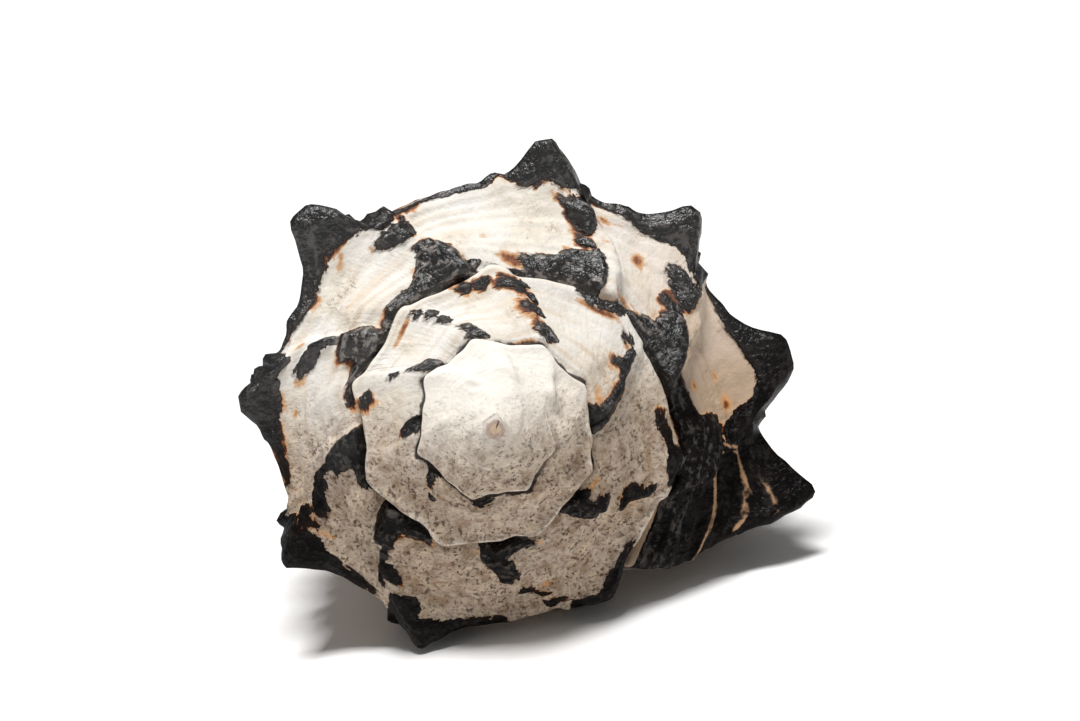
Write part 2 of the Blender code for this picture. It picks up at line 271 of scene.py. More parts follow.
def ramp_relief(s, v):
    total = np.zeros(s.shape)
    swell = 1 + 0.5 * np.exp(-(v / 0.22) ** 2)
    size = shoulder_radius(s) / 38
    for number, row in enumerate(all_varices()):
        d = degrees_behind(row[1], s) + edge_wander(number, v) * (v < 1)
        near = fold(d, VARIX_RISE, VARIX_FALL + 3.5 * ease((s - 1.95) / 0.15))
        total += VARIX_HEIGHT * size * near * swell * worn(s) * (1 - 0.5 * ease((v - 0.85) / 0.15))
    for share in RAMP_CORDS:
        total += 0.34 * size * np.exp(-((v - share) / 0.034) ** 2) * worn(s)
    rim = ease((s - 0.85) / 0.2) * (1 - ease((s - 2.8) / 0.3))
    total += 0.6 * size * rim * np.exp(-((v - 0.965) / 0.03) ** 2)
    groove = 0.9 * (1 - 0.97 * ease((s - 1.85) / 0.3))
    return total - groove * size * np.exp(-((v - 0.045) / 0.028) ** 2)


def side_relief(s, b):
    size = shoulder_radius(s) / 38
    total = np.zeros(s.shape)
    for share, strength, _ in CORDS:
        total += CORD_HEIGHT * strength * size * np.exp(-((b - share) / 0.020) ** 2)
    for number, row in enumerate(VARICES):
        d = degrees_behind(row[0] - VARIX_LEAD, s) + 0.6 * np.sin(40 * b + number)
        total += VARIX_HEIGHT * size * fold(d, VARIX_RISE, 2.0) * ease(b / 0.03) * (1 - 0.4 * b)
        for share, _, length in CORDS:
            total += length * size * fold(d, 6.0, 1.8) * np.exp(-((b - share) / 0.020) ** 2)
    return total


def corner_relief(s):
    total = np.zeros(s.shape)
    for number, row in enumerate(all_varices()):
        share = CORNER if number < len(VARICES) else OLD_CORNER
        total += share * shoulder_radius(s) * np.exp(-np.abs(degrees_behind(row[0], s) / 8.5) ** 1.6)
    return total * (1 + 0.35 * ease((s - 1.95) / 0.1) - 0.55 * ease((s - 3.0) / 0.5))


def spine_relief(s):
    total = np.zeros(s.shape)
    for angle, length, ahead, behind, blunt in VARICES + KNOBS:
        x = degrees_behind(angle, s)
        x = np.sign(x) * np.maximum(np.abs(x) - blunt, 0)
        front = np.clip(1 - np.abs(x / ahead) ** 1.2, 0, 1)
        back = np.exp(-(np.abs(x) / (0.6 * behind)) ** 1.2)
        total = np.maximum(total, length * np.where(x > 0, front, back))
    return total


def put(section, s, cols):
    rho, z = section[..., 0], section[..., 1]
    phi = np.radians(LIP_ANGLE + 360 * s + cols["slant"][None])
    bend = np.clip((CANAL_BEND_FROM - z) / 38, 0, None) ** 2
    x = rho * np.cos(phi) + CANAL_BEND[0] * bend
    y = rho * np.sin(phi) + CANAL_BEND[1] * bend
    return np.stack([x, y, z], -1)


def outer_surface(s, cols):
    section = plain_section(s, cols)
    normal = section_normals(section)
    shape = section.shape[:2]
    turns = np.broadcast_to(s[:, None], shape)
    v = np.broadcast_to(cols["v"][None], shape)
    w = np.broadcast_to(cols["w"][None], shape)
    b = np.broadcast_to(cols["b"][None], shape)
    # The relief runs out at the suture, and on the oldest whorls at the shoulder too.
    kept = ease(v / (0.06 + 0.2 * ease((turns - 1.6) / 0.3))) * (1 - w)
    kept = kept * (1 - smooth_age(turns) * (1 - ease((1 - v) / 0.25)))
    lift = (ramp_relief(turns, v) + pigment(turns, v)[2]) * kept + side_relief(turns, b) * (b > 0)
    corner = corner_relief(turns) * ease((v - 0.35) / 0.65) * (1 - ease(b / 0.12))
    corner = corner + corner_relief(turns + OVERLAP) * (1 - ease(v / 0.9))
    on_wall = np.where(b > 0, 0.65 * np.exp(-(b / 0.035) ** 2), 1 - 0.35 * w)
    spine = spine_relief(turns) * np.where(v < 1, np.exp(-((1 - v) / 0.20) ** 2), on_wall)
    section[..., 0] += normal[..., 0] * lift + corner + spine
    section[..., 1] += normal[..., 1] * lift + 0.22 * spine
    return put(section, turns, cols)


def hollow_turns(cols):
    share = np.interp(cols["b"], (0, 0.45, 0.62, 0.8, 1), (1, 1, 0.6, 0.22, 0.16))
    return np.linspace(0, 1, HOLLOW_ROWS + 1)[:, None] * HOLLOW_TURNS * share[None]


def near_lip():
    return 1 - ease(np.arange(HOLLOW_ROWS + 1) / (0.3 * HOLLOW_ROWS))


def hollow_roof(back, cols):
    wall = np.interp(cols["b"], (0, 0.5, 0.8, 1), (WALL, WALL, 2.4, CANAL_WALL))
    out = np.zeros(back.shape + (3,))
    for j in range(cols["tip"] + 1):
        section = plain_section(back[:, j], cols)
        inward = -section_normals(section)
        reach = np.linalg.norm(section - section[:, :1], axis=-1)
        share = ease(reach / (0.22 * shoulder_radius(back[:, j])[:, None]))
        share = np.where(cols["v"][None] >= 1, 1.0, share)[..., None]
        section = section + (1 - share) * np.array([1.3, -1.2]) + share * inward * wall[None, :, None]
        section[..., 0] += (corner_relief(back[:, j] + OVERLAP) * near_lip())[:, None] * (1 - share[..., 0])
        out[:, j] = put(section, back[:, j][:, None], cols)[:, j]
    return out


def hollow_floor(back, cols):
    out = np.zeros(back.shape + (3,))
    tuck = np.minimum(np.arange(HOLLOW_ROWS + 1) / 2, 1)
    share = near_lip()[:, None]
    for j in range(cols["foot"], cols["tip"] + 1):
        turns = OVERLAP + back[:, j]
        section = plain_section(turns, cols)
        section[..., 1] -= 2.1 * (1 - ease(cols["b"][j] / 0.08)) * tuck[:, None]
        out[:, j] = put(section, turns[:, None], cols)[:, j]
        bare = put(plain_section(turns, cols), turns[:, None], cols)
        out[:, j] += share * (outer_surface(turns, cols) - bare)[:, j]
    return out


# Colour fields, in millimetres from the edge of each patch, worked out along the growth lines

# Black pigment, also raised: height of the lump (mm), then its outline as growth angle and share of the ramp.
PIGMENT = (
    # Second varix: spine and upper scale, block at the suture and the band that joins it to the third.
    (0.5, ((1, 0.6), (0, 0.8), (0, 1.5), (33, 1.5), (32, 0.99), (29, 0.98), (24, 0.93), (20, 0.89),
           (16, 0.85), (10, 0.82), (10, 0.66), (9, 0.59), (5, 0.55))),
    (0.9, ((0, 0.08), (0, 0.42), (4, 0.51), (9, 0.54), (13, 0.51), (16, 0.42), (18, 0.32), (22, 0.29),
           (27, 0.27), (36, 0.28), (38, 0.2), (38, 0.06), (25, 0.09), (12, 0.05))),
    # Third varix.
    (1.1, ((34, 0.92), (36, 0.87), (40, 0.8), (44, 0.76), (48, 0.71), (45, 0.63), (41, 0.61), (38, 0.63),
           (36.5, 0.72))),
    (0.3, ((34, 1.5), (34, 0.98), (36.5, 0.92), (41, 0.83), (46, 0.82), (50, 0.85), (56, 0.91), (62, 0.96),
           (66, 0.98), (70, 0.98), (70, 1.5))),
    (0.3, ((39.5, 0.5), (41, 0.55), (46, 0.55), (48, 0.52), (45, 0.51), (41, 0.5))),
    (1.0, ((34, 0.06), (34, 0.2), (36, 0.34), (38, 0.44), (40, 0.49), (44, 0.49), (46, 0.42), (48, 0.31),
           (51, 0.25), (58, 0.17), (62, 0.1), (66, 0.05), (67, 0.02), (60, 0.05), (52, 0.06), (45, 0.06))),
    # Fourth varix.
    (1.2, ((67.5, 0.95), (69, 0.86), (72, 0.82), (75, 0.77), (78.5, 0.72), (77, 0.66), (75, 0.59),
           (73, 0.56), (71, 0.61), (69.5, 0.7), (68, 0.8))),
    (0.3, ((67, 1.5), (68, 0.99), (71, 0.91), (74, 0.85), (78, 0.81), (82, 0.84), (85, 0.9), (87, 1.0),
           (88, 1.5))),
    (0.6, ((72.5, 0.43), (73.5, 0.5), (76, 0.51), (77, 0.47), (75, 0.43))),
    (1.0, ((71.5, 0.2), (71.5, 0.36), (73, 0.41), (76, 0.37), (80, 0.37), (83, 0.32), (87, 0.27),
           (92, 0.25), (97, 0.24), (99, 0.2), (98, 0.13), (97, 0.08), (100, 0.05), (96, 0.0), (88, -0.1),
           (77, -0.1), (74, 0.0), (73, 0.1))),
    (0.1, ((97, 0.06), (102, 0.1), (109, 0.09), (114, 0.04), (112, 0.02), (104, 0.05))),
    (0.1, ((87, 1.5), (88, 0.985), (91, 0.965), (95, 0.975), (104, 0.982), (113, 0.985), (117, 1.0),
           (117, 1.5))),
    # Scales on the spines' fronts.
    (1.3, ((66, 1.0), (67.5, 0.89), (71, 0.87), (75, 0.9), (75, 0.96), (71, 1.0))),
    (1.1, ((33.5, 1.0), (34.5, 0.94), (38, 0.89), (41, 0.88), (42, 0.94), (38, 1.0))),
    (1.3, ((114.5, 1.02), (116, 0.96), (119, 0.9), (124, 0.86), (127, 0.88), (125, 0.95), (120, 1.02))),
    (1.1, ((162, 1.02), (163, 0.92), (166, 0.87), (170, 0.86), (171, 0.92), (168, 1.02))),
    (1.0, ((204, 1.02), (206, 0.95), (210, 0.86), (214, 0.86), (214, 0.94), (209, 1.02))),
    # Fifth varix.
    (1.3, ((114.5, 0.92), (117, 0.87), (119, 0.85), (122, 0.79), (126, 0.74), (130, 0.68), (128, 0.63),
           (125, 0.6), (121, 0.62), (118.5, 0.7), (116.5, 0.78))),
    (0.3, ((115, 1.5), (117, 1.0), (120, 0.9), (125, 0.84), (131, 0.8), (135, 0.83), (138, 0.87),
           (143, 0.9), (149, 0.93), (151, 0.9), (154, 0.9), (153, 0.94), (158, 0.97), (163, 0.98),
           (163, 1.5))),
    (0.5, ((120.5, 0.45), (121.5, 0.5), (125, 0.52), (125.5, 0.46), (122, 0.43))),
    (1.1, ((120, -0.1), (119.5, 0.25), (120, 0.4), (124, 0.43), (127, 0.42), (130, 0.34), (134, 0.26),
           (139, 0.21), (146, 0.17), (152, 0.14), (155, 0.1), (160, 0.07), (162, -0.1))),
    (0.1, ((115, 0.12), (117, 0.17), (120, 0.16), (120, 0.03), (117, 0.08))),
    (0.2, ((117, 0.42), (119, 0.41), (119.5, 0.36), (118, 0.38))),
    # Sixth varix.
    (1.0, ((163.5, 0.42), (163.5, 0.55), (164, 0.65), (166, 0.72), (170, 0.73), (173.5, 0.67), (172, 0.6),
           (168, 0.55), (166.5, 0.5), (165.5, 0.42))),
    (0.2, ((163, 1.5), (163.5, 0.95), (165, 0.86), (170, 0.84), (174, 0.8), (178, 0.82), (181, 0.87),
           (186, 0.91), (192, 0.92), (198, 0.95), (192, 0.97), (184, 0.99), (182, 1.5))),
    (0.9, ((161, -0.1), (160, 0.2), (161, 0.33), (162, 0.39), (165, 0.36), (169, 0.36), (172, 0.32),
           (172, 0.21), (177, 0.16), (183, 0.11), (188, 0.09), (192, 0.11), (193, 0.08), (189, 0.04),
           (186, -0.1))),
    (0.1, ((149, 0.93), (150, 0.95), (153, 0.91), (152, 0.89))),
    # Seventh varix.
    (0.8, ((206.5, 0.6), (208, 0.68), (211, 0.72), (214.5, 0.7), (216.5, 0.64), (213, 0.58), (210, 0.54),
           (207.5, 0.56))),
    (0.5, ((207, 0.84), (212, 0.82), (216, 0.76), (211, 0.76), (207.5, 0.79))),
    (0.1, ((205.5, 0.6), (206.6, 0.62), (208, 0.46), (208, 0.38), (206, 0.4))),
    (0.8, ((202.5, -0.1), (202, 0.1), (204, 0.3), (205.5, 0.42), (209, 0.39), (212, 0.39), (213, 0.3),
           (214, 0.21), (219, 0.17), (224, 0.13), (229, 0.07), (231, -0.1))),
    (0.2, ((211, 0.86), (214, 0.82), (218, 0.83), (221, 0.88), (226, 0.93), (232, 0.92), (237, 0.95),
           (230, 1.0), (222, 1.02), (219, 1.5), (208, 1.5), (209, 0.95))),
    # Eighth varix.
    (0.8, ((241, 0.58), (241.5, 0.68), (244, 0.7), (248.5, 0.67), (248, 0.6), (246, 0.53), (243, 0.52))),
    (0.1, ((238.5, 0.83), (241, 0.82), (242, 0.6), (244.5, 0.42), (243.5, 0.36), (240, 0.5))),
    (0.2, ((241.5, 0.97), (243, 0.84), (248, 0.77), (253, 0.74), (254, 0.78), (253, 0.84), (258, 0.89),
           (263, 0.93), (275, 0.94), (277, 1.0), (266, 1.04), (262, 1.5), (242, 1.5))),
    (0.7, ((237, 0.12), (237, 0.33), (239, 0.38), (242, 0.37), (246, 0.36), (246.5, 0.22), (250, 0.18),
           (256, 0.18), (262, 0.15), (263, 0.08), (269, 0.03), (266, -0.1), (238, -0.1))),
    # Ninth varix.
    (0.6, ((284.5, 0.2), (286, 0.31), (287, 0.41), (286, 0.5), (288, 0.56), (290, 0.51), (293, 0.45),
           (296, 0.34), (296, 0.22), (295, 0.17), (301, 0.18), (310, 0.17), (311, 0.12), (308, 0.08),
           (313, 0.04), (312, -0.1), (286, -0.1), (286.5, 0.1))),
    (0.5, ((287, 0.7), (290, 0.74), (291.5, 0.7), (293.5, 0.61), (291.5, 0.61), (289.5, 0.67))),
    (0.4, ((292, 0.7), (292.5, 0.76), (295, 0.75), (294, 0.7))),
    (0.3, ((289, 0.95), (291, 0.96), (293, 0.89), (297, 0.9), (294, 0.84), (291, 0.86))),
    (0.1, ((294, 1.0), (297, 0.96), (303, 0.93), (308, 0.93), (313, 0.95), (320, 0.94), (324, 0.96),
           (318, 0.99), (312, 1.2), (300, 1.2))),
    # Last whorl but one, from its youngest varix on.
    (0.4, ((332, 0.05), (332, 0.2), (333, 0.35), (334, 0.41), (338, 0.38), (343, 0.36), (346, 0.33),
           (345, 0.28), (341, 0.25), (343, 0.17), (348, 0.15), (349, 0.07), (340, -0.1), (334, -0.1))),
    (0.4, ((338, 0.58), (340, 0.6), (342, 0.66), (341, 0.77), (342, 0.84), (344.5, 0.83), (345, 0.76),
           (344, 0.7), (346.5, 0.66), (347.5, 0.58), (345, 0.54), (339, 0.54))),
    (0.1, ((334.5, 0.62), (335.5, 0.67), (337.5, 0.64), (336, 0.58))),
    (0.1, ((341, 1.02), (344, 0.95), (350, 0.88), (355, 0.9), (362, 0.91), (368, 0.88), (362, 0.95),
           (352, 0.99))),
    (0.5, ((380, 0.05), (381, 0.2), (384, 0.35), (386, 0.5), (388, 0.62), (389.5, 0.66), (391, 0.5),
           (392, 0.3), (392, 0.14), (396, 0.08), (392, -0.1), (382, -0.1))),
    (0.3, ((389.5, 0.62), (390, 0.86), (392, 0.87), (394, 0.72), (399, 0.59), (394, 0.59), (391, 0.5))),
    (0.1, ((392, 0.92), (394, 0.94), (399, 0.84), (396, 0.84))),
    (0.1, ((400, 0.98), (403, 0.93), (408, 0.95), (414, 0.94), (418, 0.99), (412, 1.05), (402, 1.05))),
    (0.4, ((431.5, 0.26), (435, 0.35), (438, 0.36), (441, 0.32), (444, 0.26), (446, 0.2), (444, 0.11),
           (440, 0.11), (436, 0.19))),
    (0.3, ((437, 0.5), (437.5, 0.6), (440, 0.63), (443, 0.59), (446.5, 0.56), (446.5, 0.49), (444, 0.49),
           (441, 0.52))),
    (0.3, ((437.5, 0.69), (438, 0.78), (441, 0.81), (445.5, 0.76), (441, 0.73))),
    (0.3, ((438, 0.9), (440, 0.94), (444, 0.87), (450, 0.85), (453, 0.8), (449, 0.79), (444, 0.81))),
    (0.2, ((453, 0.9), (455, 0.93), (459, 0.9), (457, 0.86))),
    (0.2, ((460, 0.93), (462, 0.96), (466, 0.93), (463, 0.9))),
    (0.3, ((473.5, 0.14), (475, 0.23), (477, 0.29), (478, 0.37), (481, 0.37), (484.5, 0.31), (485, 0.25),
           (483, 0.2), (487.5, 0.08), (484, 0.06), (480, 0.12))),
    (0.3, ((480, 0.57), (481.5, 0.67), (484, 0.66), (487.5, 0.56), (487, 0.49), (485, 0.5))),
    (0.3, ((481, 0.77), (482, 0.8), (485, 0.78), (487.5, 0.71), (486, 0.68), (483, 0.73))),
    (0.1, ((484, 0.88), (486, 0.9), (490, 0.82), (487, 0.8))),
    (0.4, ((509.5, 0.15), (511, 0.27), (514.5, 0.29), (516, 0.36), (518, 0.38), (520.5, 0.31), (521, 0.12),
           (516, 0.04), (512, 0.0))),
    (0.2, ((521.5, 0.5), (522.5, 0.56), (524.5, 0.53), (523, 0.48))),
    (0.2, ((527.5, 0.84), (529, 0.93), (531.5, 0.92), (530.5, 0.86))),
    # A hole, dented and painted black: the black is painted shade inside the hole.
    (-0.6, ((552, 0.0), (552, 0.13), (554, 0.26), (556, 0.33), (559, 0.35), (561, 0.31), (562, 0.16),
            (564, 0.0))),
    (0.1, ((590, 0.04), (593, 0.11), (595, 0.26), (597, 0.31), (599.5, 0.26), (600.5, 0.1), (602, 0.0),
           (592, -0.05))),
    (0.1, ((598.5, 0.42), (600, 0.5), (603.5, 0.49), (602, 0.41))),
    (0.0, ((636, 0.08), (640, 0.14), (648, 0.13), (650, 0.1), (642, 0.07))),
)

# The youngest growth, from the lip to the second varix, is black all over but for pale spiral lines:
# half width (mm), then the line's course.
YOUNG_GROWTH = ((-40, 0.10), (-40, 1.6), (2, 1.6), (3, 0.08), (-1, 0.10))
PALE_LINES = (
    (0.26, ((-26, 0.58), (-21, 0.62), (-15, 0.635), (-8, 0.62), (-4, 0.6), (-1, 0.55), (0, 0.47),
            (1.5, 0.42))),
    (0.17, ((-19, 0.80), (-12, 0.77), (-6, 0.80), (-2, 0.80), (0, 0.75), (2, 0.69), (4, 0.60), (6.5, 0.54))),
    # The thinnest line is a painted highlight along the front of the spine.
    (0.10, ((-15, 0.88), (-11, 0.85), (-7, 0.87), (-2, 0.87))),
)

# Red-brown and orange stains: growth angle, share of the ramp, half sizes in mm along and across, strength.
STAINS = (
    (13, 0.64, 1.8, 1.3, 0.9), (20, 0.65, 1.1, 0.6, 1.0), (17, 0.38, 1.1, 1.8, 0.7),
    (25, 0.39, 1.4, 0.7, 0.9), (21, 0.9, 2.0, 0.5, 0.6), (10, 0.8, 1.4, 0.7, 0.6),
    (55.5, 0.67, 1.5, 1.3, 1.0), (55, 0.5, 0.9, 0.35, 0.5), (57, 0.84, 1.2, 0.5, 0.6),
    (60, 0.86, 3.0, 0.4, 0.6), (64, 0.84, 1.5, 0.6, 1.0), (67, 0.77, 1.3, 0.6, 0.9),
    (66, 0.63, 1.6, 0.7, 0.9), (69, 0.54, 1.3, 0.6, 0.9), (67.5, 0.7, 0.9, 0.8, 0.8),
    (49, 0.34, 1.0, 2.0, 0.7), (56, 0.2, 4.0, 0.8, 0.8), (63, 0.13, 4.0, 0.8, 0.9),
    (71, 0.1, 2.5, 0.6, 0.7), (81, 0.37, 1.2, 0.8, 0.7), (88, 0.29, 2.0, 0.5, 0.6),
    (102, 0.19, 2.4, 1.6, 1.0), (105, 0.46, 1.0, 0.5, 0.5), (76, 0.81, 2.5, 0.5, 0.7),
    (88, 0.93, 1.2, 1.0, 0.6), (137, 0.79, 2.4, 0.4, 0.8), (131, 0.7, 1.0, 0.7, 0.7),
    (132, 0.34, 1.4, 0.8, 0.6), (151, 0.53, 0.8, 1.2, 0.5), (159, 0.55, 0.9, 1.4, 0.45),
    (154, 0.12, 3.0, 0.7, 1.0), (162, 0.78, 0.6, 1.6, 0.8), (175, 0.65, 1.2, 1.0, 0.8),
    (178, 0.8, 2.4, 0.5, 0.7), (183, 0.73, 0.9, 0.6, 0.7), (190, 0.12, 2.4, 0.5, 0.8),
    (173, 0.3, 0.8, 1.0, 0.6), (200, 0.11, 2.0, 0.7, 0.4), (218, 0.78, 2.4, 0.5, 0.6),
    (262, 0.12, 2.4, 0.9, 0.7), (284, 0.14, 1.4, 0.9, 0.6), (312, 0.15, 1.6, 0.7, 0.6),
    (298, 0.64, 1.4, 0.7, 0.7), (349, 0.16, 2.6, 0.8, 0.8), (410, 0.89, 4.5, 0.45, 1.0),
    (396, 0.84, 2.0, 0.9, 0.8), (396, 0.18, 2.6, 1.2, 0.8), (396, 0.66, 1.8, 0.8, 0.8),
    (445, 0.22, 0.9, 0.8, 1.0), (453, 0.05, 2.6, 0.5, 0.9), (495, 0.87, 2.6, 0.4, 1.0),
    (502, 0.87, 1.2, 0.4, 0.8), (529, 0.83, 0.8, 0.7, 0.9), (447, 0.83, 1.8, 0.6, 0.6),
    (462, 0.9, 3.0, 0.5, 0.6), (355, 0.92, 3.0, 0.5, 0.8),
)


def polygon_depth(x, y, corners):
    """Distance inside a polygon, negative outside."""
    depth = np.full(x.shape, 1e9)
    inside = np.zeros(x.shape, bool)
    for (ax, ay), (bx, by) in zip(corners, corners[1:] + corners[:1]):
        share = ((x - ax) * (bx - ax) + (y - ay) * (by - ay)) / ((bx - ax) ** 2 + (by - ay) ** 2)
        share = np.clip(share, 0, 1)
        depth = np.minimum(depth, np.hypot(x - ax - share * (bx - ax), y - ay - share * (by - ay)))
        crosses = ((ay > y) != (by > y)) & (x < (bx - ax) * (y - ay) / (by - ay + 1e-12) + ax)
        inside ^= crosses
    return np.where(inside, depth, -depth)


def line_distance(x, y, corners):
    best = np.full(x.shape, 1e9)
    for (ax, ay), (bx, by) in zip(corners, corners[1:]):
        share = ((x - ax) * (bx - ax) + (y - ay) * (by - ay)) / ((bx - ax) ** 2 + (by - ay) ** 2)
        share = np.clip(share, 0, 1)
        best = np.minimum(best, np.hypot(x - ax - share * (bx - ax), y - ay - share * (by - ay)))
    return best


def local_scale(corners):
    """Millimetres to a degree of growth and to a whole ramp, in the middle of a mark."""
    middle = np.mean(np.array(corners, float), axis=0)
    size = float(shoulder_radius((middle[0] - LIP_ANGLE) / 360))
    return size * math.pi / 180 * (0.62 + 0.38 * min(middle[1], 1.0)), 0.46 * size


def reaches(s, corners):
    """Rows of s near a mark, to save work elsewhere."""
    angle = LIP_ANGLE + 360 * s[:, 0]
    first, last = min(c[0] for c in corners) - 14, max(c[0] for c in corners) + 14
    return np.flatnonzero((angle > first) & (angle < last))


def pigment(s, v):
    """Depth inside the black and the pale lines, the lumps' lift (all mm), and front to rear of a patch."""
    black = np.full(s.shape, -9.0)
    pale = np.full(s.shape, -9.0)
    lift = np.zeros(s.shape)
    rear = np.zeros(s.shape)
    for height, corners in PIGMENT:
        rows = reaches(s, corners)
        if len(rows) == 0:
            continue
        kx, ky = local_scale(corners)
        angle = LIP_ANGLE + 360 * s[rows]
        depth = polygon_depth(angle * kx, v[rows] * ky, [(a * kx, b * ky) for a, b in corners])
        front, last = min(c[0] for c in corners), max(c[0] for c in corners)
        along = np.clip((angle - front) / (last - front), 0, 1)
        # The black reaches 0.2 mm past each outline: painted shade along the edge of its lump.
        rear[rows] = np.where(depth + 0.2 > black[rows], along, rear[rows])
        black[rows] = np.maximum(black[rows], depth + 0.2)
        # Each lump stands highest at its front, like a roof tile.
        tile = np.clip(1.25 - 0.95 * along, 0.3, 1.15)
        here = height * tile * ease(depth / 0.6 + 0.42)
        lift[rows] = np.where(np.abs(here) > np.abs(lift[rows]), here, lift[rows])
    rows = reaches(s, YOUNG_GROWTH)
    if len(rows):
        kx, ky = local_scale(YOUNG_GROWTH)
        x, y = (LIP_ANGLE + 360 * s[rows]) * kx, v[rows] * ky
        young = polygon_depth(x, y, [(a * kx, b * ky) for a, b in YOUNG_GROWTH])
        black[rows] = np.maximum(black[rows], young)
        for half, course in PALE_LINES:
            distance = line_distance(x, y, [(a * kx, b * ky) for a, b in course])
            pale[rows] = np.maximum(pale[rows], half - distance)
            lift[rows] += 0.6 * np.exp(-(distance / 0.9) ** 2)
    return black, pale, lift, rear


def side_black(s, b):
    """Under the shoulder: a dark band, widest at the spines, broken cords, and scales on the varices."""
    per_degree = shoulder_radius(s) * math.pi / 180 * (1 - 0.6 * b)
    best = np.full(s.shape, -9.0)
    near = np.zeros(s.shape)
    crest = np.full(s.shape, -99.0)
    for row in VARICES:
        d = -degrees_behind(row[0] - VARIX_LEAD, s)
        near = np.maximum(near, np.exp(-((d - 10) / 11.0) ** 2))
        offset = -np.abs(d - 2.5) * per_degree
        crest = np.maximum(crest, offset)
    best = np.maximum(best, (0.005 + 0.11 * near - b) * KEEL_SHARPNESS)
    for number, (share, strength, _) in enumerate(CORDS):
        y = (b - share) * SIDE_LENGTH
        line = 0.5 * strength - np.abs(y) + 0.35 * np.sin(11 * s * math.tau + 2.3 * number)
        best = np.maximum(best, np.minimum(line, 0.7))
        between = -0.25 - np.abs(y + 3.0)
        best = np.maximum(best, np.minimum(between, 0.1))
        knob = 1.9 * strength - np.hypot(np.minimum(crest + 0.6, 0) * 0.85, y)
        best = np.maximum(best, knob)
    return np.maximum(best, np.minimum(crest + 0.5, 1.0))


def stain_field(s, v):
    size = shoulder_radius(s)
    angle = LIP_ANGLE + 360 * s
    total = np.zeros(s.shape)
    for centre, share, along, across, strength in STAINS:
        x = (angle - centre) * size * math.pi / 180 * (0.62 + 0.38 * v)
        y = (v - share) * 0.46 * size
        total = np.maximum(total, strength * np.exp(-(x / along) ** 2 - (y / across) ** 2))
    return total


# Building

def world_axes():
    rise, turn = math.radians(SKY_RISE), math.radians(SKY_ANGLE)
    up = Vector((math.cos(turn) * math.cos(rise), math.sin(turn) * math.cos(rise), math.sin(rise)))
    axis = Vector((0, 0, 1))
    forward = (axis - up * axis.dot(up)).normalized()
    return Matrix(((-forward).cross(up), -forward, up))


def to_world(points):
    """From the growth frame in mm to the resting shell in metres."""
    return (np.asarray(points) @ np.array(world_axes()).T - np.array(GROUND_OFFSET)) * 0.001


def select_none():
    if bpy.context.object and bpy.context.object.mode != "OBJECT":
        bpy.ops.object.mode_set(mode="OBJECT")
    bpy.ops.object.select_all(action="DESELECT")


def grid_strip(name, points, fields, flip=False):
    """A grid primitive whose points are laid on the shell, rows along the growth."""
    rows, columns = points.shape[:2]
    select_none()
    bpy.ops.mesh.primitive_grid_add(x_subdivisions=columns - 1, y_subdivisions=rows - 1, size=0.05)
    strip = bpy.context.object
    strip.name = name
    mesh = strip.data
    mesh.vertices.foreach_set("co", to_world(points).reshape(-1, 3).ravel())
    if flip:
        mesh.flip_normals()
    # The values sit on the faces' corners, so the whorls keep their own where they are welded together.
    corners = np.empty(len(mesh.loops), np.int32)
    mesh.loops.foreach_get("vertex_index", corners)
    for key, values in fields.items():
        layer = mesh.attributes.new(key, "FLOAT", "CORNER")
        values = np.broadcast_to(values, (rows, columns)).ravel().astype(np.float32)
        layer.data.foreach_set("value", values[corners])
    mesh.update()
    return strip


def shell_fields(s, cols, columns):
    """Colour fields for rows s and a slice of the columns."""
    shape = (len(s), cols["tip"] + 1)
    turns = np.broadcast_to(s[:, None], shape)
    v = np.broadcast_to(cols["v"][None], shape)
    w = np.broadcast_to(cols["w"][None], shape)
    b = np.broadcast_to(cols["b"][None], shape)
    black, pale, _, rear = pigment(turns, v + 0.12 * w + 5.0 * b)
    black = np.where(b > 0, np.maximum(black, side_black(turns, b)), black)
    black = np.where((w > 0) & (turns > 1.0), np.minimum(black, -0.3), black)
    seam = np.where(w > 0, 9.0, 0.46 * v * shoulder_radius(turns))
    stain = np.where(w > 0, 0.0, stain_field(turns, v))
    fields = {"black": black, "rear": rear, "pale": pale, "seam": seam, "stain": stain, "turns": turns,
              "ramp": v, "side": np.where(w > 0, b, -0.1), "inside": np.zeros(shape)}
    return {key: value[:, columns] for key, value in fields.items()}


def plain_fields(inside):
    return {"black": -9.0, "rear": 0.0, "pale": -9.0, "seam": 9.0, "stain": 0.0, "turns": 0.2, "ramp": 0.5,
            "side": 0.5, "inside": inside}


